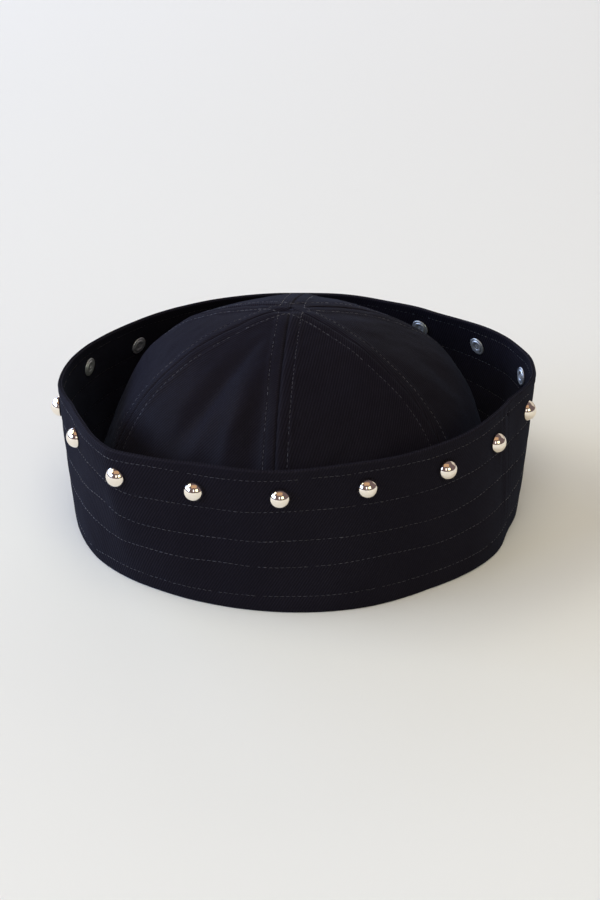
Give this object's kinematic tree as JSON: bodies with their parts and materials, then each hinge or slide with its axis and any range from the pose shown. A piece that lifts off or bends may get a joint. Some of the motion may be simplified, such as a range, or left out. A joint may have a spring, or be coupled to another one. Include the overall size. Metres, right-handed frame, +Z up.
{
  "type": "sailor cap",
  "caption": "Sailor cap of dark twill: a rounded crown of pointed gores inside an upturned, topstitched brim that carries a ring of domed studs.",
  "frame": {"origin": "on the ground, under the middle of the cap's box", "axes": "+Z up towards the crown's peak, -Y towards the cap's front, +X to the right as seen from the front"},
  "size_m": [0.2106, 0.2036, 0.0931],
  "materials": {
    "twill": "dark navy cotton twill, matt, topstitched",
    "stud_cap": "mirror polished, pale champagne",
    "stud_back": "pressed plate, satin"
  },
  "bodies": {
    "root": {"gore_1": "twill", "gore_2": "twill", "gore_3": "twill", "gore_4": "twill", "gore_5": "twill", "gore_6": "twill", "brim": "twill", "stud_cap_01": "stud_cap", "stud_cap_02": "stud_cap", "stud_cap_03": "stud_cap", "stud_cap_04": "stud_cap", "stud_cap_05": "stud_cap", "stud_cap_06": "stud_cap", "stud_cap_07": "stud_cap", "stud_cap_08": "stud_cap", "stud_cap_09": "stud_cap", "stud_cap_10": "stud_cap", "stud_cap_11": "stud_cap", "stud_cap_12": "stud_cap", "stud_cap_13": "stud_cap", "stud_cap_14": "stud_cap", "stud_cap_15": "stud_cap", "stud_cap_16": "stud_cap", "stud_cap_17": "stud_cap", "stud_back_01": "stud_back", "stud_back_02": "stud_back", "stud_back_03": "stud_back", "stud_back_04": "stud_back", "stud_back_05": "stud_back", "stud_back_06": "stud_back", "stud_back_07": "stud_back", "stud_back_08": "stud_back", "stud_back_09": "stud_back", "stud_back_10": "stud_back", "stud_back_11": "stud_back", "stud_back_12": "stud_back", "stud_back_13": "stud_back", "stud_back_14": "stud_back", "stud_back_15": "stud_back", "stud_back_16": "stud_back", "stud_back_17": "stud_back"}
  },
  "joints": []
}
